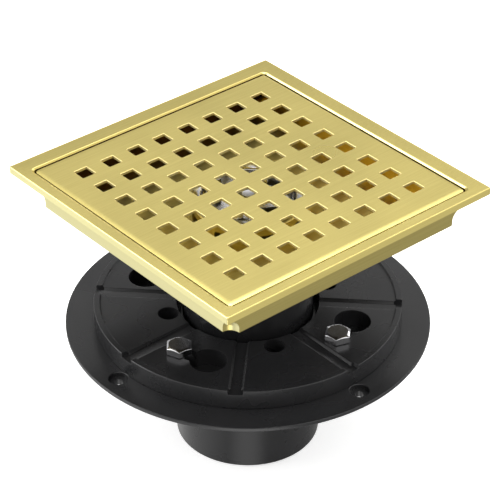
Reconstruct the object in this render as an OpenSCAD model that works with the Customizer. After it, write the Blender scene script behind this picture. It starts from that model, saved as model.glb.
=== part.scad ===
// Square floor drain: a perforated grate in a tray, on a threaded riser, in a
// clamping-ring base for a 2 inch pipe. Millimetres, +Z up. The origin is the
// centre of the hub's bottom face, on the vertical axis that every part shares.

/* [Tray and grate] */
// Outer width of the tray's square border
frame_w = 152.4; // [150:0.1:155]
// Width of the opening that the grate drops into
opening_w = 137.6; // [136:0.1:139]
// Outer width of the tray's body, below its border
body_w = 134.4; // [132:0.1:136]
// Height of the border's outer lip
lip_h = 3.7; // [3:0.1:5]
// How far the border dips towards the grate
border_dip = 1.5; // [0.5:0.1:2]
// Depth of the tray's body below the border's outer edge
tray_depth = 19.6; // [18:0.1:24]
// Thickness of the tray's sheet metal
sheet = 1.2; // [0.8:0.1:1.5]
// Radius of the pressed reliefs in the tray's lower corners
relief_r = 4.9; // [3:0.1:5.5]
// Outer width of the grate
grate_w = 136.2; // [134:0.1:136.4]
// Width of the grate's bevelled edge
grate_bevel = 2.2; // [1:0.1:2.5]
// Thickness of the grate's plate
plate_t = 1.5; // [1:0.1:2]
// Holes in each row of the grate
holes_n = 8; // [4:1:8]
// Distance from hole to hole
hole_pitch = 14.85; // [14:0.05:15.2]
// Width of each square hole
hole_w = 7; // [5:0.1:9]

/* [Outlet and strainer] */
// Outer radius of the tray's outlet neck
neck_r = 25.4; // [25:0.1:25.4]
// Inner radius of the outlet neck
neck_bore_r = 24; // [23.8:0.1:24.2]
// Height of the neck's rolled lip above the tray's floor
neck_stand = 9.4; // [7:0.1:10]
// Number of windows in the neck, which drain the tray's floor
windows_n = 8; // [4:1:12]
// Outer radius of the hair strainer's rim
strainer_r = 25; // [24.6:0.1:25.2]
// Depth of the strainer's cup
cup_depth = 11; // [8:0.5:12]
// Number of slots in the strainer's floor
slots_n = 6; // [4:1:8]

/* [Riser] */
// Radius of the riser's plain barrel
barrel_r = 30; // [29.9:0.1:30.1]
// Radius of the riser's grip collar
collar_r = 33.5; // [32:0.1:36]
// Pitch of the adjusting thread
thread_pitch = 2.209; // [2:0.001:2.5]
// Height of the riser's top face
riser_top = 112; // [110:0.5:114]

/* [Clamp ring and base] */
// Outer radius of the clamp ring
ring_r = 71.4; // [71:0.1:72]
// Height of the clamp ring at its rim
ring_h = 9.8; // [9:0.1:11]
// Radius of the clamp ring's bore
ring_bore_r = 33; // [32.6:0.1:34]
// Width of the radial grooves on the clamp ring
groove_w = 6.6; // [5:0.1:8]
// Outer radius of the base flange
flange_r = 84.7; // [84:0.1:88]
// Height of the flange's top face above the hub's bottom
flange_z = 63.5; // [62:0.1:65]
// Thickness of the flange
flange_t = 5.2; // [4:0.1:5.5]
// Outer radius of the hub
hub_r = 34; // [33.5:0.1:36]
// Radius of the socket for the pipe
socket_r = 30.2; // [30.18:0.01:30.4]
// Depth of the socket for the pipe
socket_l = 26; // [20:1:27]
// Radius of the circle of screw holes in the flange
screw_circle_r = 76; // [76:0.5:77]
// Radius of each screw hole in the flange
screw_hole_r = 2.2; // [2:0.1:2.6]
// Radius of the recess for each screw's head
screw_head_r = 4.4; // [4:0.1:4.6]
// Radius of the bolt circle
bolt_circle_r = 50.8; // [50:0.1:51.5]

/* [Hidden] */
$fn = 96;

// Cutters run this far past the faces that they open, joined shapes into each other
cut = 1;
overlap = 0.5;

// Width of the broken edges on moulded parts
edge_break = 0.5;

// Heights of the tray, from the border's outer edge down
frame_top_z = 138.8;
inner_edge_z = frame_top_z - border_dip;
lip_z = frame_top_z - lip_h;
pad_t = 1;
skirt_h = 0.8;
ledge_z = inner_edge_z - plate_t - skirt_h - pad_t;
tray_bottom_z = frame_top_z - tray_depth;
floor_z = tray_bottom_z + sheet;
sink_z = tray_bottom_z - 1.6;
outlet_z = sink_z + sheet;
border_flat_w = opening_w + 3.2;
border_roll = 0.3;
opening_corner_r = 2;
grate_corner_r = 1.5;
grate_drop = 1;
body_corner_r = 2;
lip_corner_r = 0.5;
edge_flat = 0.6;
relief_z = tray_bottom_z + 3;
sink_r = neck_r + 3;
slope_r = body_w / 2 - 7;
slope_end = 2;
grate_skirt_z = ledge_z + pad_t;
pad_l = 14;

// Neck: a rolled lip on top, windows in its wall above the tray's floor
neck_lip_r = neck_r + 1.8;
neck_lip_t = 0.8;
neck_top_z = outlet_z + neck_stand;
window_w = 8;
window_h = 4.4;

// Strainer: gasket on the neck's lip, cup on the gasket, knob in the cup
gasket_t = 0.8;
gasket_w = 2.4;
cup_t = 0.9;
cup_r = 22;
cup_corner = 3;
cup_rim_z = neck_top_z + gasket_t;
cup_floor_z = cup_rim_z + cup_t - cup_depth;
cup_window_w = 3.4;
cup_window_h = 4;
slot_w = 5.4;
slot_r0 = 8;
slot_r1 = 15;
knob_stem_r = 2.5;
knob_foot_r = 4;
knob_foot_t = 0.8;
knob_r = 5;
knob_head_t = 3;
knob_top_z = cup_rim_z + 1.6;

// Riser, from its lower end up
riser_z = 34;
riser_root_r = 28.9;
riser_crest_r = 29.55;
riser_bore_r = 24;
neck_clear = 0.05;
stop_flange_r = 31.8;
stop_flange_t = 2.5;
shoulder_z = 80;
collar_z = 93;
collar_slope = 3;
collar_flutes = 12;
flute_r = 3;
flute_depth = 1.5;
seal_zs = [99, 105];
seal_groove_r = 27.2;
seal_groove_h = 2.4;
seal_clear = 0.02;
seal_r = (seal_groove_r - neck_r) / 2 - seal_clear;
seal_mid_r = (seal_groove_r + neck_r) / 2;

// Thread ridges: half height at the root and at the crest, and how far they sink in
ridge_root = thread_pitch * 0.35;
ridge_crest = 0.15;
ridge_sink = 0.3;

// Clamp ring: face inside the rim, grooves in the face, keyholes and drain holes
rim_w = 2.8;
rim_slope = 0.6;
rim_step = 1.1;
rim_z = flange_z + ring_h;
face_z = rim_z - rim_step;
groove_z = face_z - rim_step;
groove_slope = 1;
bolt_angle = 12.3;
keyhole_angle = 29.2;
keyhole_r = 8.4;
slot_r = 3.5;
slot_step = 0.15;
drain_angle = 67.5;
drain_circle_r = 38.4;
drain_r = 4.8;

// Base: flange, bosses for the bolts, threaded bore, pipe stop and socket
flange_edge_t = 1.8;
flange_taper = 5.4;
screw_seat_z = flange_z - 2.2;
flange_bottom_z = flange_z - flange_t;
bore_root_r = 30.3;
bore_crest_r = 29.65;
pipe_stop_r = 26;
pipe_stop_t = 4;
hub_rib = 4;
boss_r = 8;
boss_z = 46;
insert_r = 4.5;
insert_z = 49;
insert_top_z = flange_z - 0.5;
weep_w = 4;
weep_d = 1.5;
weep_r = 44;

// Bolts: a quarter inch shank, a hexagonal head
shank_r = 3.1;
shank_clear = 0.05;
bolt_clear_r = 3.5;
head_flats = 11.1;
head_h = 4;
head_gap = 0.05;
bolt_l = 24.6;
head_turns = [11, 27, 44, 51];

module at_bolt(i) {
    rotate([0, 0, bolt_angle + 90 * (i - 1)])
        translate([bolt_circle_r, 0, 0])
            children();
}

module around(count, start) {
    for (i = [0 : count - 1])
        rotate([0, 0, start + i * 360 / count])
            children();
}

// A square with round corners, drawn from straight edges and arcs
module round_square(w, r) {
    square([w, w - 2 * r], center = true);
    square([w - 2 * r, w], center = true);
    for (x = [-1, 1], y = [-1, 1])
        translate([x * (w / 2 - r), y * (w / 2 - r)])
            circle(r);
}

module square_block(w, r, z0, z1) {
    translate([0, 0, z0])
        linear_extrude(z1 - z0)
            round_square(w, r);
}

// A solid with the same outline, drawn as x and z, from the front and from the side
module square_profile(w) {
    intersection() {
        translate([0, w / 2 + cut, 0])
            rotate([90, 0, 0])
                linear_extrude(w + 2 * cut)
                    children();
        translate([-w / 2 - cut, 0, 0])
            rotate([90, 0, 90])
                linear_extrude(w + 2 * cut)
                    children();
    }
}

// A vertical tube about the shared axis
module tube(r_out, r_in, z0, z1) {
    translate([0, 0, z0])
        difference() {
            cylinder(h = z1 - z0, r = r_out);
            translate([0, 0, -cut])
                cylinder(h = z1 - z0 + 2 * cut, r = r_in);
        }
}

module drill(r, z0, z1) {
    translate([0, 0, z0])
        cylinder(h = z1 - z0, r = r);
}

// Thread ridges as rings of triangular section, from the root radius to the crest
module thread_ridges(root_r, crest_r, z0, z1) {
    sunk_r = root_r + (crest_r > root_r ? -ridge_sink : ridge_sink);
    count = floor((z1 - z0 - 2 * ridge_root) / thread_pitch);
    for (i = [0 : count])
        translate([0, 0, z0 + ridge_root + i * thread_pitch])
            rotate_extrude()
                polygon([[sunk_r, -ridge_root], [root_r, -ridge_root], [crest_r, -ridge_crest],
                         [crest_r, ridge_crest], [root_r, ridge_root], [sunk_r, ridge_root]]);
}

// The base: a flange with a hub below it, threaded inside for the riser
module base_flange() {
    color([0.07, 0.07, 0.075])
    difference() {
        union() {
            rotate_extrude()
                polygon([[bore_root_r, 0], [hub_r, 0], [hub_r, flange_bottom_z - hub_rib],
                         [hub_r + hub_rib, flange_bottom_z], [flange_r - flange_taper, flange_bottom_z],
                         [flange_r, flange_z - flange_edge_t], [flange_r, flange_z], [bore_root_r, flange_z]]);
            for (i = [1 : 4])
                at_bolt(i)
                    drill(boss_r, boss_z, flange_bottom_z + overlap);
            tube(bore_root_r + overlap, pipe_stop_r, socket_l, socket_l + pipe_stop_t);
            tube(bore_root_r + overlap, socket_r, 0, socket_l + overlap);
            thread_ridges(bore_root_r, bore_crest_r, socket_l + pipe_stop_t + cut, flange_z - cut);
        }
        for (i = [1 : 4])
            at_bolt(i) {
                drill(insert_r, insert_z, insert_top_z);
                drill(bolt_clear_r, boss_z - cut, flange_z + cut);
            }
        around(4, 0)
            translate([screw_circle_r, 0, 0]) {
                drill(screw_hole_r, flange_bottom_z - cut, flange_z + cut);
                drill(screw_head_r, screw_seat_z, flange_z + cut);
            }
        around(4, drain_angle)
            translate([bore_root_r - cut, -weep_w / 2, flange_z - weep_d])
                cube([weep_r - bore_root_r + cut, weep_w, weep_d + cut]);
    }
}

// A brass insert in each boss, which holds a bolt
module thread_insert(i) {
    color([0.72, 0.55, 0.25])
    at_bolt(i)
        tube(insert_r, shank_r + shank_clear, insert_z, insert_top_z);
}

// The clamp ring, which the bolts hold down on the flange
module clamp_ring() {
    color([0.06, 0.06, 0.065])
    difference() {
        rotate_extrude()
            polygon([[ring_bore_r, flange_z], [ring_r - edge_break, flange_z], [ring_r, flange_z + edge_break],
                     [ring_r, rim_z - edge_break], [ring_r - edge_break, rim_z],
                     [ring_r - rim_w, rim_z], [ring_r - rim_w - rim_slope, face_z],
                     [ring_bore_r, face_z]]);
        around(8, 0)
            translate([0, 0, groove_z]) {
                rotate([90, 0, 90])
                    translate([0, 0, ring_bore_r - cut])
                        linear_extrude(ring_r - rim_w - ring_bore_r + cut)
                            polygon([[groove_slope - groove_w / 2, 0], [groove_w / 2 - groove_slope, 0],
                                     [groove_w / 2, rim_step], [groove_w / 2, rim_step + cut],
                                     [-groove_w / 2, rim_step + cut], [-groove_w / 2, rim_step]]);
                translate([ring_r - rim_w - rim_slope, -groove_w / 2, 0])
                    cube([rim_w + rim_slope + cut, groove_w, ring_h]);
            }
        around(4, drain_angle)
            translate([drain_circle_r, 0, 0])
                drill(drain_r, flange_z - cut, face_z + cut);
        around(4, keyhole_angle)
            translate([bolt_circle_r, 0, 0])
                drill(keyhole_r, flange_z - cut, face_z + cut);
        around(4, bolt_angle) {
            translate([0, 0, flange_z - cut])
                rotate_extrude(angle = keyhole_angle - bolt_angle)
                    translate([bolt_circle_r - slot_r + slot_step, 0])
                        square([2 * (slot_r - slot_step), ring_h + 2 * cut]);
            translate([bolt_circle_r, 0, 0])
                drill(slot_r, flange_z - cut, face_z + cut);
        }
    }
}

// A hexagon-head bolt
module hex_bolt(i) {
    color([0.8, 0.8, 0.82])
    at_bolt(i) {
        translate([0, 0, face_z + head_gap])
            rotate([0, 0, head_turns[i - 1] - bolt_angle])
                cylinder(h = head_h, r = head_flats / sqrt(3), $fn = 6);
        drill(shank_r, face_z + head_gap - bolt_l, face_z + head_gap + overlap);
    }
}

// The riser: threaded below, with a stop flange, a plain barrel and a grip collar
module riser_tube() {
    color([0.08, 0.08, 0.085])
    difference() {
        union() {
            rotate_extrude()
                polygon([[riser_bore_r, riser_z], [riser_root_r - edge_break, riser_z],
                         [riser_root_r, riser_z + edge_break],
                         [riser_root_r, flange_z], [stop_flange_r, flange_z],
                         [stop_flange_r, flange_z + stop_flange_t], [barrel_r, flange_z + stop_flange_t],
                         [barrel_r, collar_z - collar_slope], [collar_r, collar_z],
                         [collar_r, riser_top - 2 * edge_break], [collar_r - 2 * edge_break, riser_top],
                         [neck_r + neck_clear, riser_top],
                         [neck_r + neck_clear, shoulder_z], [riser_bore_r, shoulder_z]]);
            thread_ridges(riser_root_r, riser_crest_r, riser_z + cut, flange_z - overlap);
        }
        around(collar_flutes, 0)
            translate([collar_r + flute_r - flute_depth, 0, 0])
                drill(flute_r, collar_z - collar_slope - cut, riser_top + cut);
        for (z = seal_zs)
            drill(seal_groove_r, z - seal_groove_h / 2, z + seal_groove_h / 2);
    }
}

// A rubber ring in the riser's groove, around the outlet neck
module neck_seal(z) {
    color([0.15, 0.15, 0.15])
    translate([0, 0, z])
        rotate_extrude()
            translate([seal_mid_r, 0])
                circle(seal_r, $fn = 24);
}

// Spheres on stems in the body's lower corners: pressed reliefs, r in radius
module corner_reliefs(r) {
    for (x = [-1, 1], y = [-1, 1])
        translate([x * body_w / 2, y * body_w / 2, relief_z]) {
            sphere(r);
            translate([0, 0, tray_bottom_z - cut - relief_z])
                cylinder(h = relief_z - tray_bottom_z + cut, r = r);
        }
}

// The pressed tray: border, lip, ledge, walls and a floor that falls to the outlet
module drain_tray() {
    color([0.86, 0.75, 0.42])
    difference() {
        union() {
            square_block(frame_w, lip_corner_r, lip_z, frame_top_z);
            square_block(opening_w + 2 * sheet, opening_corner_r + sheet, ledge_z - sheet, lip_z + sheet);
            difference() {
                square_block(body_w, body_corner_r, tray_bottom_z, ledge_z);
                corner_reliefs(relief_r);
            }
            rotate_extrude()
                polygon([[0, sink_z], [sink_r, sink_z], [slope_r, tray_bottom_z], [slope_r, floor_z],
                         [0, floor_z]]);
        }
        // the border dips towards the opening, and is hollow underneath
        border_dip_space();
        border_hollow();
        // the opening, with the ledge at its foot
        square_block(opening_w, opening_corner_r, ledge_z, frame_top_z + cut);
        // the inside of the body
        difference() {
            square_block(body_w - 2 * sheet, body_corner_r, floor_z, ledge_z + cut);
            corner_reliefs(relief_r + sheet);
        }
        // the floor's slope, and the hole for the neck
        rotate_extrude()
            polygon([[0, outlet_z], [sink_r, outlet_z], [slope_r - slope_end, floor_z],
                     [slope_r - slope_end, floor_z + cut], [0, floor_z + cut]]);
        drill(neck_r, sink_z - cut, floor_z + cut);
    }
}

// What the border's slope takes off: it widens from the opening to the outer edge
module border_dip_space() {
    top_w = frame_w - 2 * edge_flat;
    square_profile(top_w)
        polygon([[-opening_w / 2, inner_edge_z - border_roll], [opening_w / 2, inner_edge_z - border_roll],
                 [border_flat_w / 2, inner_edge_z], [top_w / 2, frame_top_z], [top_w / 2, frame_top_z + cut],
                 [-top_w / 2, frame_top_z + cut], [-top_w / 2, frame_top_z],
                 [-border_flat_w / 2, inner_edge_z]]);
}

// The space inside the folded lip, open below
module border_hollow() {
    difference() {
        square_block(frame_w - 2 * sheet, lip_corner_r, lip_z - cut, inner_edge_z - sheet);
        square_block(opening_w + 2 * sheet, opening_corner_r + sheet, lip_z - 2 * cut, frame_top_z);
    }
}

// The outlet neck: it stands up through the tray's floor and goes down into the riser
module outlet_neck() {
    color([0.80, 0.70, 0.42])
    difference() {
        union() {
            tube(neck_r, neck_bore_r, shoulder_z, neck_top_z);
            tube(neck_lip_r, neck_bore_r, neck_top_z - neck_lip_t, neck_top_z);
        }
        around(windows_n, 180 / windows_n)
            translate([neck_bore_r - cut, -window_w / 2, outlet_z])
                cube([neck_r - neck_bore_r + 2 * cut, window_w, window_h]);
    }
}

// The grate: a plate with square holes and an edge turned down
module grate() {
    color([0.88, 0.78, 0.45])
    difference() {
        intersection() {
            square_block(grate_w, grate_corner_r, grate_skirt_z, inner_edge_z + cut);
            square_profile(grate_w)
                polygon([[-grate_w / 2 - cut, grate_skirt_z], [grate_w / 2 + cut, grate_skirt_z],
                         [grate_w / 2 + cut, inner_edge_z - grate_drop], [grate_w / 2, inner_edge_z - grate_drop],
                         [grate_w / 2 - grate_bevel, inner_edge_z], [grate_bevel - grate_w / 2, inner_edge_z],
                         [-grate_w / 2, inner_edge_z - grate_drop],
                         [-grate_w / 2 - cut, inner_edge_z - grate_drop]]);
        }
        square_block(grate_w - 2 * sheet, lip_corner_r, grate_skirt_z - cut, inner_edge_z - plate_t);
        for (i = [0 : holes_n - 1], j = [0 : holes_n - 1])
            translate([(i - (holes_n - 1) / 2) * hole_pitch, (j - (holes_n - 1) / 2) * hole_pitch,
                       inner_edge_z - plate_t / 2])
                cube([hole_w, hole_w, plate_t + 2 * cut], center = true);
    }
}

// A rubber cushion under one corner of the grate's edge
module grate_pad(i) {
    color([0.12, 0.12, 0.12])
    rotate([0, 0, 90 * (i - 1)])
        intersection() {
            difference() {
                square_block(grate_w, grate_corner_r, ledge_z, grate_skirt_z);
                square_block(grate_w - 2 * sheet, lip_corner_r, ledge_z - cut, grate_skirt_z + cut);
            }
            translate([grate_w / 2 - pad_l, grate_w / 2 - pad_l, ledge_z - cut])
                cube([pad_l + cut, pad_l + cut, pad_t + 2 * cut]);
        }
}

// The gasket under the strainer's rim
module strainer_gasket() {
    color([0.15, 0.15, 0.15])
    tube(strainer_r, strainer_r - gasket_w, neck_top_z, cup_rim_z);
}

// The strainer: a rim, a cup that hangs in the neck, slots in its floor, windows in its wall
module strainer_cup() {
    color([0.78, 0.78, 0.80])
    difference() {
        rotate_extrude()
            polygon([[0, cup_floor_z], [cup_r - cup_corner, cup_floor_z], [cup_r, cup_floor_z + cup_corner],
                     [cup_r, cup_rim_z], [strainer_r, cup_rim_z], [strainer_r, cup_rim_z + cup_t],
                     [cup_r - cup_t, cup_rim_z + cup_t], [cup_r - cup_t, cup_floor_z + cup_corner],
                     [cup_r - cup_corner - cup_t / 2, cup_floor_z + cup_t], [0, cup_floor_z + cup_t]]);
        around(slots_n, 0)
            slot(slot_r0, slot_r1, cup_floor_z - cut, cup_floor_z + cup_t + cut);
        around(2 * slots_n, 0)
            translate([cup_r - cup_t - cut, -cup_window_w / 2, cup_floor_z + cup_corner + cut])
                cube([cup_t + 2 * cut, cup_window_w, cup_window_h]);
        drill(knob_stem_r, cup_floor_z - cut, cup_floor_z + cup_t + cut);
    }
}

// A radial slot with round ends, from radius r0 to r1
module slot(r0, r1, z0, z1) {
    translate([r0, -slot_w / 2, z0])
        cube([r1 - r0, slot_w, z1 - z0]);
    for (r = [r0, r1])
        translate([r, 0, 0])
            drill(slot_w / 2, z0, z1);
}

// The knob on a stem that lifts the strainer out
module strainer_knob() {
    color([0.82, 0.82, 0.84])
    rotate_extrude()
        polygon([[0, cup_floor_z - knob_foot_t], [knob_foot_r, cup_floor_z - knob_foot_t],
                 [knob_foot_r, cup_floor_z], [knob_stem_r, cup_floor_z],
                 [knob_stem_r, knob_top_z - knob_head_t - cut], [knob_r, knob_top_z - knob_head_t],
                 [knob_r, knob_top_z - edge_break], [knob_r - edge_break, knob_top_z], [0, knob_top_z]]);
}

base_flange();
thread_insert(1);  // thread_insert_1
thread_insert(2);  // thread_insert_2
thread_insert(3);  // thread_insert_3
thread_insert(4);  // thread_insert_4
clamp_ring();
hex_bolt(1);  // hex_bolt_1
hex_bolt(2);  // hex_bolt_2
hex_bolt(3);  // hex_bolt_3
hex_bolt(4);  // hex_bolt_4
riser_tube();
neck_seal(seal_zs[1]);  // neck_seal_upper
neck_seal(seal_zs[0]);  // neck_seal_lower
drain_tray();
outlet_neck();
grate();
grate_pad(1);  // grate_pad_1
grate_pad(2);  // grate_pad_2
grate_pad(3);  // grate_pad_3
grate_pad(4);  // grate_pad_4
strainer_cup();
strainer_gasket();
strainer_knob();
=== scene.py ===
import math
import bpy
import bmesh
from mathutils import Vector, Matrix


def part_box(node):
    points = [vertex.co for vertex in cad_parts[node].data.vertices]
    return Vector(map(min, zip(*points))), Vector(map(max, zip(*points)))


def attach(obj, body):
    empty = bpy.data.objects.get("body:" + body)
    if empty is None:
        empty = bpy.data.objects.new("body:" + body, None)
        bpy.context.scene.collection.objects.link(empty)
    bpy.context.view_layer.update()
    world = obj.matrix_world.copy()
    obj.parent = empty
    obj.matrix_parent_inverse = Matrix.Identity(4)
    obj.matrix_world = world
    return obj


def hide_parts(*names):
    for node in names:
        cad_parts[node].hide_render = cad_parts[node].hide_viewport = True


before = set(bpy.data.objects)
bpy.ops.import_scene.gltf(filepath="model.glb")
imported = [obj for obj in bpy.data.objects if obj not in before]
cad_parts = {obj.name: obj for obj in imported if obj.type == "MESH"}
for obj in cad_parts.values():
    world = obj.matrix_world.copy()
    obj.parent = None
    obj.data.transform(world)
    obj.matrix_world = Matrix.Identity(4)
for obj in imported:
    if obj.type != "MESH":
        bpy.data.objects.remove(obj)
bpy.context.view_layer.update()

# A square shower floor drain: a perforated grate in a brushed gold tray, on a threaded riser in
# a black base with a clamp ring. Every piece is built in millimetres round the common vertical
# axis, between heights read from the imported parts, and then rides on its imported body.

MM = 0.001
TAU = 2 * math.pi
QUARTER = math.pi / 2


def heights(name):
    """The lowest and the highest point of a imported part."""
    return [v.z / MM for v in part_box(name)]


def reach(name):
    """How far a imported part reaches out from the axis."""
    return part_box(name)[1].x / MM


TRAY_LOW, TRAY_TOP = heights("drain_tray")
GRATE_LOW, GRATE_TOP = heights("grate")
NECK_LOW, NECK_TOP = heights("outlet_neck")
CUP_LOW, CUP_TOP = heights("strainer_cup")
KNOB_LOW, KNOB_TOP = heights("strainer_knob")
RISER_LOW, RISER_TOP = heights("riser_tube")
RING_TOP = heights("clamp_ring")[1]
FLANGE = heights("base_flange")[1]
FRAME_HALF = reach("drain_tray")
GRATE_HALF = reach("grate")

# Sizes that several pieces share; angles are in degrees
SHEET = 1.2                         # the metal of the tray and the grate
NECK_R = 25.4                       # the outlet neck, outside
HOLES, HOLE_PITCH = 8, 14.85        # the grate's rows of holes
HOLE_FIELD = 60                     # half of a square with all the holes in it
BOLT_CIRCLE, BOLT_ANGLE = 50.8, 12.3
KEYHOLE_ANGLE = 29.2                # the first keyhole's round end
DRAIN_CIRCLE, DRAIN_ANGLE = 38.4, 67.5
SCREW_CIRCLE = 76
THREAD_PITCH = 2.209
THREAD_FOOT, THREAD_TIP = 0.75, 0.2     # half of a thread ridge's width at its root and crest

# Stands a prism on its side: its outline lies across X, and it runs along X
UPRIGHT = Matrix.Rotation(QUARTER, 4, "Z") @ Matrix.Rotation(QUARTER, 4, "X")


# ------------------------------------------------------------------ outlines

def rounded(corners, steps=4):
    """A closed outline from corners (x, z, radius): each corner becomes an arc."""
    out = []
    for i, (x, z, rad) in enumerate(corners):
        p = Vector((x, z))
        if rad == 0:
            out.append((x, z))
            continue
        a = (Vector(corners[i - 1][:2]) - p).normalized()
        b = (Vector(corners[(i + 1) % len(corners)][:2]) - p).normalized()
        half = math.acos(max(-1, min(1, a.dot(b)))) / 2
        centre = p + (a + b).normalized() * (rad / math.sin(half))
        s = p + a * (rad / math.tan(half)) - centre
        e = p + b * (rad / math.tan(half)) - centre
        turn = math.atan2(s.x * e.y - s.y * e.x, s.dot(e))
        for j in range(steps + 1):
            c, w = math.cos(turn * j / steps), math.sin(turn * j / steps)
            out.append((centre.x + c * s.x - w * s.y, centre.y + w * s.x + c * s.y))
    return out


def rounded_box(x0, x1, y0, y1, low_rad, high_rad, steps=4):
    """A rectangle whose corners have one radius below and one above."""
    return rounded([(x0, y0, low_rad), (x1, y0, low_rad), (x1, y1, high_rad), (x0, y1, high_rad)],
                   steps)


def arc(x, y, radius, start, sweep, steps):
    """Points on an arc about (x, y); start and sweep are in radians."""
    angles = [start + sweep * k / steps for k in range(steps + 1)]
    return [(x + radius * math.cos(a), y + radius * math.sin(a)) for a in angles]


def circle(radius, n, x=0, y=0):
    """The corners of a regular polygon, the first one on the +X side."""
    return arc(x, y, radius, 0, TAU, n)[:-1]


def square_ring(half, corner, z, dent=0, steps=12):
    """Points of a square with round corners, or with corners dented by a radius."""
    pts = []
    for q in range(4):
        for k in range(steps + 1):
            t = QUARTER * k / steps
            if dent > 0:
                x, y = half - dent * math.sin(t), half - dent * math.cos(t)
            else:
                x = half - corner + corner * math.cos(t)
                y = half - corner + corner * math.sin(t)
            c, s = math.cos(QUARTER * q), math.sin(QUARTER * q)
            pts.append(((c * x - s * y) * MM, (s * x + c * y) * MM, z * MM))
    return pts


def spread(p):
    """How far out a place is, measured square to the tray's sides."""
    return max(abs(p.x), abs(p.y))


# ---------------------------------------------------------------- mesh tools

def obj_from(bm, name):
    """A linked object from a bmesh, with its faces turned outwards."""
    bmesh.ops.recalc_face_normals(bm, faces=bm.faces)
    mesh = bpy.data.meshes.new(name)
    bm.to_mesh(mesh)
    bm.free()
    obj = bpy.data.objects.new(name, mesh)
    bpy.context.scene.collection.objects.link(obj)
    return obj


def bridge(bm, rings, closed):
    """Faces between loops of equal length; a loop of one vertex is a pole."""
    pairs = list(zip(rings, rings[1:]))
    if closed:
        pairs.append((rings[-1], rings[0]))
    for lo, hi in pairs:
        n = max(len(lo), len(hi))
        for i in range(n):
            j = (i + 1) % n
            quad = [lo[i % len(lo)], lo[j % len(lo)], hi[j % len(hi)], hi[i % len(hi)]]
            face = list(dict.fromkeys(quad))
            if len(face) > 2:
                bm.faces.new(face)


def lathe(name, outline, n=192, closed=True, shape=None, at=(0, 0)):
    """Turns an outline of (radius, height) in millimetres about a vertical axis.
    shape(radius, height, angle) may change the radius."""
    bm = bmesh.new()
    rings = []
    for r, z in outline:
        if r < 1e-6:
            rings.append([bm.verts.new((at[0] * MM, at[1] * MM, z * MM))])
            continue
        ring = []
        for i in range(n):
            a = TAU * i / n
            q = shape(r, z, a) if shape else r
            ring.append(bm.verts.new(((at[0] + q * math.cos(a)) * MM,
                                      (at[1] + q * math.sin(a)) * MM, z * MM)))
        rings.append(ring)
    bridge(bm, rings, closed)
    return obj_from(bm, name)


def loft(name, rings, steps, closed=False):
    """A skin over square rings (half, corner, height, dent). An open one is capped at its ends."""
    bm = bmesh.new()
    loops = [[bm.verts.new(p) for p in square_ring(*r, steps=steps)] for r in rings]
    bridge(bm, loops, closed)
    if not closed:
        bm.faces.new(loops[0][::-1])
        bm.faces.new(loops[-1])
    return obj_from(bm, name)


def prism(outline, z0, z1, at=Matrix.Identity(4)):
    """A mesh of an outline in millimetres, extruded up from z0 to z1 and placed by a matrix."""
    bm = bmesh.new()
    low = [bm.verts.new((x * MM, y * MM, z0 * MM)) for x, y in outline]
    high = [bm.verts.new((x * MM, y * MM, z1 * MM)) for x, y in outline]
    bridge(bm, [low, high], False)
    bm.faces.new(low[::-1])
    bm.faces.new(high)
    bmesh.ops.transform(bm, matrix=at, verts=bm.verts)
    return obj_from(bm, "prism")


def helix(name, root, crest, z0, z1, pitch=THREAD_PITCH, foot=THREAD_FOOT, tip=THREAD_TIP, n=72):
    """A thread ridge of trapezoid section wound about the axis; it fades in at both ends."""
    bm = bmesh.new()
    count = int((z1 - z0) / pitch * n)
    rings = []
    for i in range(count + 1):
        a = TAU * i / n
        z = z0 + pitch * i / n
        fade = min(1, i / (n / 4), (count - i) / (n / 4))
        top = root + (crest - root) * fade
        base = root - (0.3 if crest > root else -0.3)
        section = [(base, -foot), (top, -tip), (top, tip), (base, foot)]
        rings.append([bm.verts.new((r * math.cos(a) * MM, r * math.sin(a) * MM, (z + h) * MM))
                      for r, h in section])
    bridge(bm, rings, False)
    bm.faces.new(rings[0])
    bm.faces.new(rings[-1][::-1])
    return obj_from(bm, name)


def merge(objs, name):
    """One object from several, without any boolean."""
    bm = bmesh.new()
    for o in objs:
        bm.from_mesh(o.data)
        bpy.data.objects.remove(o)
    return obj_from(bm, name)


def turned(obj, count, start):
    """Copies of obj round the axis, merged into one. start is in degrees."""
    copies = []
    for i in range(count):
        c = bpy.data.objects.new("copy", obj.data.copy())
        c.data.transform(Matrix.Rotation(math.radians(start + 360 * i / count), 4, "Z"))
        bpy.context.scene.collection.objects.link(c)
        copies.append(c)
    bpy.data.objects.remove(obj)
    return merge(copies, "copies")


def bake_modifiers(obj):
    """Replaces the mesh by what its modifiers make of it."""
    graph = bpy.context.evaluated_depsgraph_get()
    mesh = bpy.data.meshes.new_from_object(obj.evaluated_get(graph))
    obj.modifiers.clear()
    obj.data = mesh


def boolean(obj, tool, kind="DIFFERENCE"):
    mod = obj.modifiers.new("cut", "BOOLEAN")
    mod.operation = kind
    mod.solver = "EXACT"
    mod.object = tool
    bake_modifiers(obj)
    bpy.data.objects.remove(tool)


def drill(obj, radius, z0, z1, circle_r, start, n):
    """Cuts four round holes on a circle about the axis, the first one at start degrees.
    Each hole has n sides."""
    boolean(obj, turned(prism(circle(radius, n, circle_r), z0, z1), 4, start))


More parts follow.
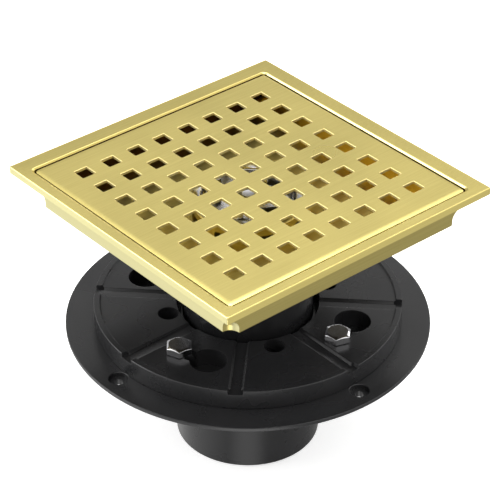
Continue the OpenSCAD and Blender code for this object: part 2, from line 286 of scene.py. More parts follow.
def soften(obj, width, angle=32, steps=2, where=None):
    """Rounds the sharp edges left by the cuts, or those whose middle where(place) picks."""
    bm = bmesh.new()
    bm.from_mesh(obj.data)
    bmesh.ops.remove_doubles(bm, verts=bm.verts, dist=4e-6)
    bmesh.ops.dissolve_limit(bm, angle_limit=math.radians(0.4), verts=bm.verts, edges=bm.edges)
    edges = []
    for e in bm.edges:
        if len(e.link_faces) != 2 or e.calc_face_angle(0) < math.radians(angle):
            continue
        middle = (e.verts[0].co + e.verts[1].co) / 2 / MM
        if where is None or where(middle):
            edges.append(e)
    bmesh.ops.bevel(bm, geom=edges, offset=width * MM, offset_type="OFFSET", segments=steps,
                    profile=0.5, affect="EDGES", clamp_overlap=False)
    bmesh.ops.recalc_face_normals(bm, faces=bm.faces)
    bm.to_mesh(obj.data)
    bm.free()


def smooth(obj, angle=38):
    """Smooth shading, broken at edges sharper than angle and led by the larger faces."""
    for p in obj.data.polygons:
        p.use_smooth = True
    obj.data.set_sharp_from_angle(angle=math.radians(angle))
    mod = obj.modifiers.new("normals", "WEIGHTED_NORMAL")
    mod.keep_sharp = True
    mod.weight = 90


def bend_normals(obj, rule):
    """Sets the shading normals where rule(place, normal) gives a direction."""
    bake_modifiers(obj)
    mesh = obj.data
    normals = [c.vector.copy() for c in mesh.corner_normals]
    for loop in mesh.loops:
        new = rule(mesh.vertices[loop.vertex_index].co / MM, normals[loop.index])
        if new is not None:
            normals[loop.index] = new.normalized()
    mesh.normals_split_custom_set(normals)


def level(v, n):
    """The rule for flat faces: their shading normals point straight up or down."""
    return Vector((0, 0, round(n.z))) if abs(n.z) > 0.93 else None


def repaint(obj, mat, where):
    """Gives another material to the faces where where(centre, normal) holds."""
    obj.data.materials.append(mat)
    for p in obj.data.polygons:
        if where(p.center / MM, p.normal):
            p.material_index = len(obj.data.materials) - 1


def piece(obj, name, body, nodes, mat):
    """Names a finished piece, gives it its material and sets it on its body."""
    obj.name = name
    obj.data.name = name
    obj.data.materials.clear()
    obj.data.materials.append(mat)
    smooth(obj)
    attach(obj, body)
    if nodes:
        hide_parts(*nodes)


# ----------------------------------------------------------------- materials

def new_material(name):
    mat = bpy.data.materials.new(name)
    mat.use_nodes = True
    tree = mat.node_tree
    return mat, tree, tree.nodes["Principled BSDF"]


def node(tree, kind, **values):
    """A node with its properties set, or its inputs where no property has that name."""
    n = tree.nodes.new(kind)
    for key, value in values.items():
        if hasattr(n, key):
            setattr(n, key, value)
        else:
            n.inputs[key.replace("_", " ")].default_value = value
    return n


def stretched_noise(tree, coord, scale, detail=3.0):
    """Noise whose grain has its own size along each axis. scale is in cycles per metre."""
    mapping = node(tree, "ShaderNodeMapping")
    mapping.inputs["Scale"].default_value = scale
    tree.links.new(coord, mapping.inputs["Vector"])
    noise = node(tree, "ShaderNodeTexNoise", Scale=1.0, Detail=detail, Roughness=0.6)
    tree.links.new(mapping.outputs[0], noise.inputs["Vector"])
    return noise.outputs["Fac"]


def ramp(tree, value, lo, hi, low_in=0.3, high_in=0.7):
    """lo to hi, as value goes from low_in to high_in."""
    m = node(tree, "ShaderNodeMapRange")
    m.inputs["From Min"].default_value = low_in
    m.inputs["From Max"].default_value = high_in
    m.inputs["To Min"].default_value = lo
    m.inputs["To Max"].default_value = hi
    tree.links.new(value, m.inputs["Value"])
    return m.outputs["Result"]


def mix_colour(tree, factor, a, b):
    m = node(tree, "ShaderNodeMix", data_type="RGBA")
    m.inputs[6].default_value = (*a, 1)
    m.inputs[7].default_value = (*b, 1)
    tree.links.new(factor, m.inputs[0])
    return m.outputs[2]


def bump(tree, height, strength, distance, bsdf):
    b = node(tree, "ShaderNodeBump")
    b.inputs["Strength"].default_value = strength
    b.inputs["Distance"].default_value = distance
    tree.links.new(height, b.inputs["Height"])
    tree.links.new(b.outputs[0], bsdf.inputs["Normal"])


def brushed(name, dark, light, rough, strength, aniso=0.0, pale=None):
    """Metal brushed along Y on top and along the edge on its walls. strength is that of the
    grain's bumps. The walls that face along Y may have a paler colour: painted light that stands
    in for a lamp's glare on them."""
    mat, tree, bsdf = new_material(name)
    coord = node(tree, "ShaderNodeTexCoord")
    split = node(tree, "ShaderNodeSeparateXYZ")
    tree.links.new(coord.outputs["Normal"], split.inputs[0])
    side = node(tree, "ShaderNodeMath", operation="ABSOLUTE")
    tree.links.new(split.outputs["Y"], side.inputs[0])
    facing = ramp(tree, side.outputs[0], 0, 1, 0.6, 0.8)
    along_y = stretched_noise(tree, coord.outputs["Object"], (2600, 40, 2600))
    along_x = stretched_noise(tree, coord.outputs["Object"], (40, 2600, 2600))
    grain = node(tree, "ShaderNodeMix", data_type="FLOAT")
    tree.links.new(facing, grain.inputs[0])
    tree.links.new(along_y, grain.inputs[2])
    tree.links.new(along_x, grain.inputs[3])
    streaks = stretched_noise(tree, coord.outputs["Object"], (1100, 16, 1100), 2.0)
    cloud = stretched_noise(tree, coord.outputs["Object"], (14, 14, 14), 2.0)
    tone = node(tree, "ShaderNodeMath", operation="MULTIPLY_ADD")
    tree.links.new(grain.outputs[0], tone.inputs[0])
    tone.inputs[1].default_value = 0.6          # fine grain, with 0.4 of broader streaks
    broad = node(tree, "ShaderNodeMath", operation="MULTIPLY")
    tree.links.new(streaks, broad.inputs[0])
    broad.inputs[1].default_value = 0.4
    tree.links.new(broad.outputs[0], tone.inputs[2])
    colour = mix_colour(tree, ramp(tree, tone.outputs[0], 0, 1, 0.35, 0.65), dark, light)
    # painted light: the walls that face along Y turn paler, standing in for a lamp's glare
    if pale:
        mix = node(tree, "ShaderNodeMix", data_type="RGBA")
        mix.inputs[7].default_value = (*pale, 1)
        tree.links.new(facing, mix.inputs[0])
        tree.links.new(colour, mix.inputs[6])
        colour = mix.outputs[2]
    tree.links.new(colour, bsdf.inputs["Base Color"])
    tree.links.new(ramp(tree, cloud, rough - 0.03, rough + 0.03), bsdf.inputs["Roughness"])
    bsdf.inputs["Metallic"].default_value = 1
    bsdf.inputs["Anisotropic"].default_value = aniso
    tangent = node(tree, "ShaderNodeVectorTransform", vector_type="VECTOR",
                   convert_from="OBJECT", convert_to="WORLD")
    tangent.inputs[0].default_value = (0, 1, 0)
    tree.links.new(tangent.outputs[0], bsdf.inputs["Tangent"])
    bump(tree, tone.outputs[0], strength, 0.00004, bsdf)
    return mat


def moulded(name, dark, light, rough, vary, grain, low=0.5):
    """Moulded plastic or rubber: a fine skin grain, and a roughness that varies slowly. Below the
    flange, near the floor, its shine falls to low, as painted shade on the reflections there."""
    mat, tree, bsdf = new_material(name)
    coord = node(tree, "ShaderNodeTexCoord")
    skin = stretched_noise(tree, coord.outputs["Object"], (grain, grain, grain), 4.0)
    cloud = stretched_noise(tree, coord.outputs["Object"], (30, 30, 30), 3.0)
    tree.links.new(mix_colour(tree, ramp(tree, cloud, 0, 1), dark, light),
                   bsdf.inputs["Base Color"])
    tree.links.new(ramp(tree, cloud, rough - vary, rough + vary), bsdf.inputs["Roughness"])
    bsdf.inputs["IOR"].default_value = 1.5
    # painted shade: the shine dims below the flange, near the floor
    height = node(tree, "ShaderNodeSeparateXYZ")
    tree.links.new(coord.outputs["Object"], height.inputs[0])
    tree.links.new(ramp(tree, height.outputs["Z"], low, 0.5, 0.045, 0.058),
                   bsdf.inputs["Specular IOR Level"])
    bump(tree, skin, 0.12, 0.00003, bsdf)
    return mat


def polished(name, dark, light, rough, scale):
    """Plated or stamped metal with faint polishing marks."""
    mat, tree, bsdf = new_material(name)
    coord = node(tree, "ShaderNodeTexCoord")
    marks = stretched_noise(tree, coord.outputs["Object"], scale, 4.0)
    cloud = stretched_noise(tree, coord.outputs["Object"], (60, 60, 60), 3.0)
    tree.links.new(mix_colour(tree, ramp(tree, cloud, 0, 1), dark, light),
                   bsdf.inputs["Base Color"])
    tree.links.new(ramp(tree, marks, rough * 0.7, rough * 1.4), bsdf.inputs["Roughness"])
    bsdf.inputs["Metallic"].default_value = 1
    bump(tree, marks, 0.06, 0.00003, bsdf)
    return mat


# the paler colour on the walls that face along Y is painted light, standing in for the key lamp's
# glare
GOLD = brushed("brushed_gold", (0.79, 0.655, 0.215), (0.87, 0.735, 0.26),
               rough=0.30, strength=0.22, aniso=0.45, pale=(0.68, 0.635, 0.325))
# the walls of the grate's holes: rougher cut metal, with a paler colour as a painted highlight
GOLD_CUT_PAINTED_HIGHLIGHT = brushed("gold_cut_painted_highlight", (0.88, 0.76, 0.36), (0.96, 0.85, 0.46),
                   rough=0.55, strength=0.1)
# the underside of the tray: painted shade, a near black gold that mirrors dark in the pieces below
# it
GOLD_UNDER_PAINTED_SHADE = brushed("gold_under_painted_shade", (0.060, 0.053, 0.036), (0.080, 0.070, 0.046),
                     rough=0.5, strength=0.1)
# the gap round the grate, and the basin wall that shows through the left row of holes
GOLD_SHADE = brushed("gold_shade", (0.085, 0.040, 0.012), (0.115, 0.055, 0.016),
                     rough=0.6, strength=0.1)
# the basin wall that shows through the right row of holes: painted light, a brighter and warmer
# gold where the key lamp falls through the holes
GOLD_WARM_PAINTED_LIGHT = brushed("gold_warm_painted_light", (0.85, 0.56, 0.08), (0.95, 0.66, 0.12),
                    rough=0.45, strength=0.1)
# the outlet neck
GOLD_IN = brushed("gold_inside", (0.74, 0.57, 0.17), (0.84, 0.67, 0.22),
                  rough=0.34, strength=0.2, aniso=0.2)
# its shine falls near the floor: painted shade on the hub
BLACK = moulded("black_abs", (0.016, 0.016, 0.017), (0.022, 0.022, 0.023),
                rough=0.27, vary=0.04, grain=5200, low=0.28)
CHROME = polished("plated_steel", (0.86, 0.86, 0.88), (0.92, 0.92, 0.94),
                  rough=0.16, scale=(900, 900, 900))
STEEL = polished("strainer_steel", (0.70, 0.70, 0.72), (0.82, 0.82, 0.84),
                 rough=0.16, scale=(1500, 60, 1500))
BRASS = polished("brass", (0.66, 0.47, 0.18), (0.76, 0.57, 0.25),
                 rough=0.28, scale=(1200, 1200, 200))
RUBBER = moulded("rubber", (0.014, 0.014, 0.014), (0.022, 0.022, 0.022),
                 rough=0.62, vary=0.06, grain=3000)


# ------------------------------------------------------------ grate and tray

def make_grate():
    """A shallow lid with rows of square holes. Its rim hangs down all round."""
    half = GRATE_HALF
    inner = half - SHEET
    bevel, bevel_drop = 2.3, 1.15
    plate_low = GRATE_TOP - 1.5
    hole_half, hole_corner = 3.5, 0.45
    rings = [(inner, 0.8, plate_low), (inner, 0.8, GRATE_LOW + 0.1),
             (inner + 0.1, 0.9, GRATE_LOW), (half - 0.15, 1.6, GRATE_LOW),
             (half, 1.7, GRATE_LOW + 0.15), (half, 1.7, GRATE_TOP - bevel_drop)]
    for k in range(1, 9):
        t = QUARTER * k / 8
        rings.append((half - bevel * (1 - math.cos(t)) ** 0.95, 1.7 - 1.1 * k / 8,
                      GRATE_TOP - bevel_drop + bevel_drop * math.sin(t)))
    plate = loft("plate", rings, 8)
    cutters = []
    for i in range(HOLES):
        for j in range(HOLES):
            x, y = ((k - (HOLES - 1) / 2) * HOLE_PITCH * MM for k in (i, j))
            hole = rounded_box(-hole_half, hole_half, -hole_half, hole_half,
                               hole_corner, hole_corner, 3)
            cutters.append(prism(hole, GRATE_TOP - 3, GRATE_TOP + 1,
                                 Matrix.Translation((x, y, 0))))
    boolean(plate, merge(cutters, "holes"))
    soften(plate, 0.32, 60, 3, lambda p: spread(p) < HOLE_FIELD and p.z > GRATE_TOP - 0.1)
    soften(plate, 0.12, 60, 1, lambda p: spread(p) < HOLE_FIELD and p.z < plate_low + 0.1)
    piece(plate, "grate_plate", "grate", ["grate"], GOLD)
    # the hole walls take a painted highlight: a paler gold
    repaint(plate, GOLD_CUT_PAINTED_HIGHLIGHT, lambda c, n: abs(n.z) < 0.75 and spread(c) < HOLE_FIELD)
    repaint(plate, GOLD_SHADE, lambda c, n: abs(n.z) < 0.5 and spread(c) > HOLE_FIELD
            and c.z < GRATE_TOP - 0.8)

    def shading(v, n):
        if v.z > GRATE_TOP - 1.1 and spread(v) > half - bevel - 0.1:
            return Vector((n.x * 0.45, n.y * 0.45, 1))     # the bevel shades almost like a flat
        return None

    bend_normals(plate, shading)


def make_tray():
    """The tray is bent from one sheet. Its skin starts at the outlet, runs out over the upper
    side to the border's edge, round the lip, and back along the underside."""
    low, flat, top = TRAY_LOW, GRATE_TOP, TRAY_TOP      # the border slopes up from flat to top
    bottom, floor = low + 1.6, low + 2.8                # at the walls; the floor falls to the neck
    ledge = flat - 3.3                                  # carries the grate
    lip = top - 3.7                                     # the lower edge of the border's lip
    body, inside, opening = 67.2, 66.0, 68.8            # half widths: walls, basin, grate opening
    frame_in = FRAME_HALF - SHEET
    opening_out = opening + SHEET
    dent, dent_top = 4.9, bottom + 3                    # the walls' lower corners are pushed in
    rings = []

    def add(half, corner, z, pushed=0):
        rings.append((half, corner, z, pushed))

    def dent_at(z):
        if z <= dent_top:
            return dent
        return math.sqrt(max(0, dent * dent - (z - dent_top) ** 2))

    # the upper side, from the outlet outwards
    add(NECK_R, NECK_R, low + SHEET)
    add(28.4, 28.4, low + SHEET)
    add(44, 42, low + SHEET + 0.8)
    add(58, 40, floor)
    add(inside - 1.2, 4, floor, dent)
    add(inside - 0.35, 4, floor + 0.35, dent)
    add(inside, 4, floor + 1.2, dent)
    for k in range(7):
        z = dent_top + (dent - 0.1) * math.sin(QUARTER * k / 6)
        add(inside, 1, z, max(0.15, dent_at(z)))
    add(inside, 1.0, dent_top + 5.2)
    add(inside, 1.6, ledge - 0.5)
    add(inside + 0.2, 1.7, ledge - 0.12)
    add(inside + 0.6, 1.8, ledge)
    add(opening - 0.4, 1.9, ledge)
    add(opening - 0.1, 2.0, ledge + 0.1)
    add(opening, 2.0, ledge + 0.4)
    add(opening, 2.0, flat - 0.75)
    for k in range(1, 8):
        t = QUARTER * k / 7
        add(opening + 1.6 * (1 - math.cos(t)), 2 + 1.2 * k / 7, flat - 0.75 + 0.75 * math.sin(t))
    add(opening + 2.2, 3.2, flat + 0.17)
    add(FRAME_HALF - 0.9, 1.0, top - 0.09)
    for k in range(6):
        t = QUARTER * k / 5
        add(FRAME_HALF - 0.6 + 0.6 * math.sin(t), 0.6, top - 0.6 + 0.6 * math.cos(t))
    # the lip and the under side, back to the outlet
    add(FRAME_HALF, 0.6, lip + 0.3)
    add(FRAME_HALF - 0.15, 0.6, lip + 0.06)
    add(FRAME_HALF - 0.4, 0.6, lip)
    add(frame_in, 0.5, lip + 0.1)
    add(frame_in, 0.5, flat - SHEET - 0.4)
    add(frame_in - 0.4, 0.5, flat - SHEET)
    add(opening_out + 0.5, 2.4, flat - SHEET)
    add(opening_out, 2.6, flat - SHEET - 0.4)
    add(opening_out, 3.0, ledge - SHEET + 0.8)
    add(opening_out - 0.25, 3.0, ledge - SHEET + 0.2)
    add(opening_out - 0.8, 2.8, ledge - SHEET)
    add(body + 0.5, 2.2, ledge - SHEET)
    add(body + 0.1, 2.0, ledge - SHEET - 0.15)
    add(body, 2.0, ledge - SHEET - 0.5)
    add(body, 1.6, dent_top + 5.4)
    for k in range(7):
        z = dent_top + dent * math.cos(QUARTER * k / 6)
        add(body, 1, z, max(0.12, dent_at(z)))
    add(body, 1, bottom + 1.1, dent)
    for k in range(1, 6):
        t = QUARTER * k / 5
        add(body - 1.1 * (1 - math.cos(t)), 1, bottom + 1.1 - 1.1 * math.sin(t), dent)
    add(body - 5.5, 8, bottom)
    add(60.2, 56, bottom)
    add(45, 45, bottom - 0.75)
    add(28.4, 28.4, low + 0.02)
    add(27.5, 27.5, low)
    add(NECK_R, NECK_R, low)
    tray = loft("tray", rings, 15, closed=True)
    piece(tray, "tray_shell", "tray", ["drain_tray"], GOLD)

    def shading(v, n):
        out = spread(v)
        if flat - 0.02 < v.z < top - 0.05 and out < FRAME_HALF - 0.85:
            return Vector((0, 0, 1))            # the border's slope shades like a flat
        if (flat - 0.8 < v.z < flat - 0.02 and opening - 0.1 < out < opening + 1.7
                and n.z > 0.05):
            far = n.x > 0.3 or n.y < -0.3       # the rolled edge is brightest on the far sides
            outwards = Vector((n.x, n.y)).normalized() * (0.9 if far else 0.6)
            return Vector((*outwards, 0.43 if far else 0.8))
        if v.z > lip and out > FRAME_HALF - 0.05 and abs(n.z) < 0.7:
            return Vector((n.x, n.y, 0.32))     # the lip leans back a little
        return None

    def shaded(c, n):
        in_gap = abs(spread(c) - opening) < 0.2 and ledge < c.z < flat - 0.6 and abs(n.z) < 0.5
        on_ledge = abs(n.z) > 0.9 and abs(c.z - ledge) < 0.05
        left_wall = n.x > 0.7 and floor < c.z < ledge and abs(c.x + inside) < 7
        return in_gap or on_ledge or left_wall

    # painted light: the basin wall that faces the front-left lamp gets a brighter, warmer gold
    def painted_light_wall(c, n):
        return n.y < -0.7 and floor < c.z < ledge and abs(c.y - inside) < 7

    bend_normals(tray, shading)
    # painted shade: the faces that look down are near black
    repaint(tray, GOLD_UNDER_PAINTED_SHADE, lambda c, n: n.z < -0.8)
    repaint(tray, GOLD_SHADE, shaded)
    # painted light on the lit basin wall
    repaint(tray, GOLD_WARM_PAINTED_LIGHT, painted_light_wall)


def make_neck():
    """The outlet: a tube through the tray's floor, with a rolled lip and a row of windows."""
    inner = NECK_R - 1.4
    lip_r, lip_low = reach("outlet_neck"), NECK_TOP - 0.8
    neck = lathe("neck", rounded([
        (inner, NECK_LOW, 0.3), (NECK_R - 0.4, NECK_LOW, 0.2), (NECK_R, NECK_LOW + 1.2, 0.6),
        (NECK_R, lip_low, 0.4), (lip_r, lip_low, 0.35), (lip_r, NECK_TOP, 0.4),
        (inner, NECK_TOP, 0.4)]), 240)
    sill = TRAY_LOW + SHEET
    window = rounded_box(-4, 4, sill, sill + 4.4, 0, 1.2)
    boolean(neck, turned(prism(window, inner - 2, NECK_R + 1, UPRIGHT), 8, 22.5))
    soften(neck, 0.15, 55, 2, lambda p: TRAY_LOW < p.z < NECK_TOP - 2)
    piece(neck, "neck_tube", "tray", ["outlet_neck"], GOLD_IN)


# ------------------------------------------------------------------ strainer

def make_strainer():
    """A stamped cup with slots in its floor and windows in its wall, and a knob to lift it by."""
    lo, hi, t = CUP_LOW, CUP_TOP, 0.9
    rim, wall = 25.0, 22.0
    cup = lathe("cup", rounded([
        (0, lo, 0), (15, lo, 0), (wall - 3, lo, 1.4), (wall, lo + 3, 1.8), (wall, hi - t, 0.5),
        (24, hi - t, 0), (rim, hi - t, 0.3), (rim, hi, 0.4), (wall + 0.8, hi, 0.5),
        (wall - t, hi - 0.2, 1.0), (wall - t, lo + 3.2, 1.4), (wall - 3.4, lo + t, 1.0),
        (15, lo + t, 0), (0, lo + t, 0)]), closed=False)
    slot_r, slot_in, slot_out = 2.7, 8, 15
    slot = (arc(slot_in, 0, slot_r, QUARTER, math.pi, 16)
            + arc(slot_out, 0, slot_r, -QUARTER, math.pi, 16))
    boolean(cup, turned(prism(slot, lo - 1, lo + 2), 6, 0))
    window = rounded_box(-1.7, 1.7, lo + 4, lo + 8, 0.5, 0.5, 3)
    boolean(cup, turned(prism(window, wall - 3, wall + 2, UPRIGHT), 12, 0))
    soften(cup, 0.14, 55, 2)
    piece(cup, "strainer_basket", "strainer", ["strainer_cup"], STEEL)
    top, head, foot, stem = KNOB_TOP, 5.0, 4.0, 2.5
    knob = rounded([
        (0, KNOB_LOW, 0), (foot, KNOB_LOW, 0.3), (foot, lo, 0.2), (stem, lo, 0),
        (stem, top - 4, 1.0), (head, top - 3, 0.6), (head, top, 0.8), (3.2, top, 0.3),
        (2.6, top - 0.4, 0.4), (0, top - 0.5, 0)])
    piece(lathe("knob", knob, 96, closed=False), "strainer_pull", "strainer", ["strainer_knob"],
          STEEL)


# --------------------------------------------------------------------- riser

def make_riser():
    """A tube with the adjusting thread below, a stop flange on it and a fluted grip on top."""
    lo, hi = RISER_LOW, RISER_TOP
    bore, pocket, groove = 24, 25.45, 27.2              # inside radii; the neck is in the pocket
    root, stop, barrel, grip = 28.9, 31.8, 30, 33.5     # outside radii, from the thread up
    pocket_floor, barrel_top, grip_low = 80, 90, 93
    upper, lower, half = 105, 99, 1.2                   # the seals' grooves
    outline = rounded([
        (bore, lo, 0.3), (root - 0.8, lo, 0.2), (root, lo + 0.8, 0.2), (root, FLANGE, 0),
        (stop, FLANGE, 0.2), (stop, FLANGE + 2.5, 0.6), (barrel, FLANGE + 2.5, 0.6),
        (barrel, barrel_top, 1.2), (grip, grip_low, 0.8), (grip, hi - 1, 0.5),
        (grip - 1, hi, 0.4), (pocket, hi, 0.5),
        (pocket, upper + half, 0.1), (groove, upper + half, 0.2),
        (groove, upper - half, 0.2), (pocket, upper - half, 0.1),
        (pocket, lower + half, 0.1), (groove, lower + half, 0.2),
        (groove, lower - half, 0.2), (pocket, lower - half, 0.1),
        (pocket, pocket_floor, 0.2), (bore, pocket_floor, 0.2)])
    flutes, flute_r, flute_circle = 12, 3, 35.0

    def fluted(r, z, a):
        """The grip's radius at an angle: shallow round flutes are sunk into it."""
        if z < barrel_top - 1 or r < root + 0.1:
            return r
        step = TAU / flutes
        off = (a + step / 2) % step - step / 2
        across = flute_circle * math.sin(off)
        if abs(across) >= flute_r:
            return r
        return min(r, flute_circle * math.cos(off) - math.sqrt(flute_r ** 2 - across * across))

    body = lathe("riser", outline, 360, shape=fluted)
    piece(body, "riser_body", "riser", ["riser_tube"], BLACK)
    thread = helix("riser_ridge", root, root + 0.6, lo + 2, FLANGE - 1.4)
    piece(thread, "riser_thread", "riser", [], BLACK)


# ---------------------------------------------------------------- clamp ring

def keyhole_slot():
    """The outline of a keyhole's narrow part, a curved slot along the bolts' circle."""
    width = 3.5
    a0, a1 = math.radians(BOLT_ANGLE), math.radians(KEYHOLE_ANGLE)
    x, y = BOLT_CIRCLE * math.cos(a0), BOLT_CIRCLE * math.sin(a0)
    points = (arc(x, y, width, a0 + math.pi, math.pi, 14)
              + arc(0, 0, BOLT_CIRCLE + width, a0, a1 - a0, 12)
              + arc(0, 0, BOLT_CIRCLE - width, a1, a0 - a1, 12))
    clean = []
    for p in points:
        if not clean or (Vector(p) - Vector(clean[-1])).length > 0.05:
            clean.append(p)
    if (Vector(clean[0]) - Vector(clean[-1])).length < 0.05:
        clean.pop()
    return clean


def make_ring():
    """The clamp ring: keyholes for the bolts, drain holes, and grooves out to a notched rim."""
    f, rim = FLANGE, RING_TOP
    face, groove = rim - 1.1, rim - 2.2
    inner, outer, wall = 33, 71.4, 68.1
    ring = lathe("ring", rounded([
        (inner, f, 0.2), (outer, f, 0.4), (outer, rim, 0.55), (wall + 0.5, rim, 0.45),
        (wall, face, 0.5), (inner, face, 0.5)]), 288)
    trough = [(-3.45, face + 0.3), (-3.3, face), (-2.3, groove),
              (2.3, groove), (3.3, face), (3.45, face + 0.3)]
    boolean(ring, turned(prism(trough, inner - 3, wall + 0.3, UPRIGHT), 8, 0))
    notch = [(-3.35, groove), (3.35, groove), (3.35, rim + 1), (-3.35, rim + 1)]
    boolean(ring, turned(prism(notch, wall - 0.7, outer + 2.6, UPRIGHT), 8, 0))
    drill(ring, 4.8, f - 1, rim + 1, DRAIN_CIRCLE, DRAIN_ANGLE, 56)
    drill(ring, 8.4, f - 1, rim + 1, BOLT_CIRCLE, KEYHOLE_ANGLE, 80)
    boolean(ring, turned(prism(keyhole_slot(), f - 1, rim + 1), 4, 0))
    soften(ring, 0.22, 34, 2, lambda p: p.z > face - 3
           and not (inner - 2 < Vector((p.x, p.y)).length < inner + 0.4))
    piece(ring, "ring_plate", "ring", ["clamp_ring"], BLACK)
    bend_normals(ring, level)


# ---------------------------------------------------------------------- base

def make_base():
    """A flange on a hub: threaded for the riser above, a socket for the pipe below."""
    f = FLANGE
    under = f - 5.2
    outer, hub, socket, bore = 84.7, 34, 30.2, 30.3     # bore is the thread's, at its roots
    stop, stop_low, stop_top = 26, 26, 30               # the pipe goes up to this inner ring
    boss_r, boss_low, insert_r, insert_low = 8, 46, 4.5, 49
    screw_head_r, screw_r = 4.4, 2.2
    base = lathe("base", rounded([
        (socket, 0, 0.5), (hub, 0, 0.7), (hub, under - 4, 3.0), (38, under, 2.0),
        (79.3, under, 0.6), (outer, f - 1.8, 0.5), (outer, f, 0.45), (bore, f, 0.4),
        (bore, stop_top, 0.4), (stop, stop_top, 0.3), (stop, stop_low, 0.3),
        (socket, stop_low, 0.3)]), 288)
    boss_profile = rounded([(0, boss_low, 0), (boss_r, boss_low, 0.6),
                            (boss_r, under + 0.5, 0), (0, under + 0.5, 0)])
    bosses = []
    for i in range(4):
        a = math.radians(BOLT_ANGLE + 90 * i)
        bosses.append(lathe("boss", boss_profile, 56, closed=False,
                            at=(BOLT_CIRCLE * math.cos(a), BOLT_CIRCLE * math.sin(a))))
    boolean(base, merge(bosses, "bosses"), "UNION")
    drill(base, insert_r - 1, boss_low - 6, f + 1, BOLT_CIRCLE, BOLT_ANGLE, 40)
    drill(base, insert_r, insert_low, f - 0.5, BOLT_CIRCLE, BOLT_ANGLE, 40)
    drill(base, screw_head_r, f - 2.2, f + 1, SCREW_CIRCLE, 0, 56)
    drill(base, screw_r, under - 1, f - 1, SCREW_CIRCLE, 0, 40)
    weep = rounded_box(-2, 2, f - 1.5, f + 1, 0.5, 0, 3)
    boolean(base, turned(prism(weep, 28, 44, UPRIGHT), 4, DRAIN_ANGLE))
    soften(base, 0.4, 34, 3, lambda p: p.z > f - 0.3
           and abs(Vector((p.x, p.y)).length - SCREW_CIRCLE) < 5)
    piece(base, "base_body", "base", ["base_flange"], BLACK)
    bend_normals(base, level)
    thread = helix("base_ridge", bore, bore - 0.6, stop_top + 4, f - 2)
    piece(thread, "base_thread", "base", [], BLACK)


# --------------------------------------------------------------------- bolts

def make_bolt(number, head_turn):
    """A plated quarter inch bolt. head_turn is in degrees: each was left at its own angle."""
    name = f"hex_bolt_{number}"
    tip, top = heights(name)
    seat = top - 4
    shank_r, root_r, crest_r = 3.0, 2.5, 3.05
    a = math.radians(BOLT_ANGLE + 90 * (number - 1))
    x, y = BOLT_CIRCLE * math.cos(a), BOLT_CIRCLE * math.sin(a)
    head = prism(circle(11.1 / math.sqrt(3), 6), seat + 0.25, top)
    crown = lathe("crown", rounded([
        (0, seat - 1, 0), (8, seat - 1, 0), (8, top - 1.6, 0), (4.75, top, 0.25), (2.5, top, 0),
        (0, top, 0)]), 96, closed=False)
    boolean(head, crown, "INTERSECT")
    soften(head, 0.16, 28, 2)
    washer = lathe("washer", rounded([
        (0, seat, 0), (5.3, seat, 0.1), (5.3, seat + 0.4, 0), (0, seat + 0.4, 0)]),
        72, closed=False)
    shank = lathe("shank", rounded([
        (0, tip, 0), (2.0, tip, 0), (root_r + 0.05, tip + 0.7, 0), (root_r + 0.05, seat - 5, 0.2),
        (shank_r, seat - 4.4, 0.3), (shank_r, seat + 0.2, 0), (0, seat + 0.2, 0)]),
        48, closed=False)
    ridge = helix("ridge", root_r, crest_r, tip + 0.7, seat - 4.8, 1.27, 0.55, 0.08, 36)
    bolt = merge([head, washer, shank, ridge], name + "_plated")
    bolt.data.transform(Matrix.Translation((x * MM, y * MM, 0))
                        @ Matrix.Rotation(math.radians(head_turn), 4, "Z"))
    piece(bolt, f"bolt_{number}_plated", f"bolt_{number}", [name], CHROME)


make_grate()
make_tray()
make_neck()
make_strainer()
make_riser()
make_ring()
make_base()
for number, head_turn in enumerate((11, 117, 224, 321), 1):
    make_bolt(number, head_turn)

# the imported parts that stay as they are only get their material
FINISH = {"thread_insert": BRASS, "neck_seal": RUBBER, "strainer_gasket": RUBBER,
          "grate_pad": RUBBER}
for name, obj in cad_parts.items():
    for key, mat in FINISH.items():
        if name.startswith(key):
            obj.data.materials.clear()
            obj.data.materials.append(mat)


# --------------------------------------------------------------------- stage

scene = bpy.context.scene
scene.view_settings.view_transform = "Standard"


def make_floor():
    """A pale floor that glows a little, so that it stays white, and that no piece mirrors."""
    bm = bmesh.new()
    bmesh.ops.create_grid(bm, x_segments=8, y_segments=8, size=6)
    floor = obj_from(bm, "floor")
    floor.location.z = -0.0002
    mat, tree, bsdf = new_material("floor")
    coord = node(tree, "ShaderNodeTexCoord")
    cloud = stretched_noise(tree, coord.outputs["Object"], (3, 3, 3), 2.0)
    tree.links.new(mix_colour(tree, ramp(tree, cloud, 0, 1), (0.93, 0.93, 0.93),
                              (0.95, 0.95, 0.95)), bsdf.inputs["Base Color"])
    bsdf.inputs["Roughness"].default_value = 0.9
    bsdf.inputs["Specular IOR Level"].default_value = 0.0
    bsdf.inputs["Emission Color"].default_value = (1, 1, 1, 1)
    bsdf.inputs["Emission Strength"].default_value = 0.55
    floor.data.materials.append(mat)
    floor.visible_glossy = False


def glow(tree, coord, direction, start, end, amount):
    """Light from one side of the studio, soft at its edge."""
    dot = node(tree, "ShaderNodeVectorMath", operation="DOT_PRODUCT")
    dot.inputs[1].default_value = Vector(direction).normalized()
    tree.links.new(coord, dot.inputs[0])
    m = node(tree, "ShaderNodeMapRange", interpolation_type="SMOOTHSTEP")
    m.inputs["From Min"].default_value = start
    m.inputs["From Max"].default_value = end
    m.inputs["To Max"].default_value = amount
    tree.links.new(dot.outputs["Value"], m.inputs["Value"])
    return m.outputs["Result"]


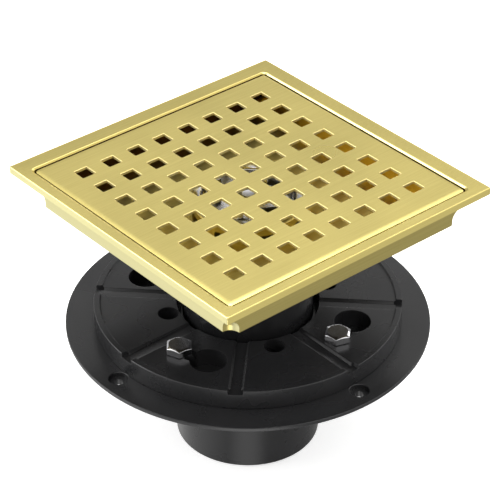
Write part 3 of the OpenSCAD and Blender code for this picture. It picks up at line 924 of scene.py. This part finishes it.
# each glow: where it stands, the cosines where it starts and is full, and its strength
GLOWS = [((0.20, 0.10, 1.00), 0.38, 0.66, 0.86),      # overhead, brighter towards the front
         ((-0.65, -0.70, -0.30), 0.25, 0.95, 0.85),   # left
         ((0.63, -0.54, -0.56), 0.90, 1.00, 1.90),    # a strip in front, low
         ((-0.75, 0.65, 0.00), 0.94, 1.00, 2.60),     # a bright strip behind, for the rims
         ((0.85, 0.50, 0.05), 0.78, 1.00, 0.42),      # right
         ((0.00, 0.00, -1.00), 0.20, 0.80, 0.08)]     # from the floor
AMBIENT = 0.30


def make_world():
    world = bpy.data.worlds.new("studio")
    scene.world = world
    world.use_nodes = True
    tree = world.node_tree
    background = tree.nodes["Background"]
    coord = node(tree, "ShaderNodeTexCoord").outputs["Generated"]
    total = node(tree, "ShaderNodeValue").outputs[0]
    total.default_value = AMBIENT
    for spec in GLOWS:
        add = node(tree, "ShaderNodeMath", operation="ADD")
        tree.links.new(total, add.inputs[0])
        tree.links.new(glow(tree, coord, *spec), add.inputs[1])
        total = add.outputs[0]
    tree.links.new(total, background.inputs["Strength"])
    background.inputs["Color"].default_value = (1, 0.995, 0.985, 1)


def softbox(name, where, width, height, power):
    """A rectangular lamp that points at the middle of the drain. Sizes are in metres."""
    light = bpy.data.lights.new(name, "AREA")
    light.shape = "RECTANGLE"
    light.size = width
    light.size_y = height
    light.energy = power
    obj = bpy.data.objects.new(name, light)
    scene.collection.objects.link(obj)
    obj.location = where
    obj.rotation_euler = (Vector((0, 0, 0.1)) - Vector(where)).to_track_quat("-Z", "Y").to_euler()


def make_camera(where, look, roll, lens):
    """The camera of the photo. where is in metres, roll in degrees and lens in millimetres."""
    cam = bpy.data.cameras.new("camera")
    cam.lens = lens
    cam.sensor_width = 36
    cam.clip_start = 0.01
    camera = bpy.data.objects.new("camera", cam)
    scene.collection.objects.link(camera)
    forward = Vector(look).normalized()
    right = forward.cross(Vector((0, 0, 1))).normalized()
    up = right.cross(forward)
    c, s = math.cos(math.radians(roll)), math.sin(math.radians(roll))
    right, up = right * c + up * s, up * c - right * s
    pose = Matrix((right, up, -forward)).transposed().to_4x4()
    pose.translation = where
    camera.matrix_world = pose
    scene.camera = camera


make_floor()
make_world()
softbox("overhead", (-0.25, 0.15, 1.7), 1.3, 1.3, 16)
softbox("left_key", (-1.1, -1.3, 0.9), 0.9, 1.2, 14)
softbox("back_rim", (0.2, 1.6, 0.9), 1.4, 0.5, 6)
make_camera((0.6071, -0.5203, 0.6420), (-0.6277, 0.5391, -0.5616), 0.21, 152.57)
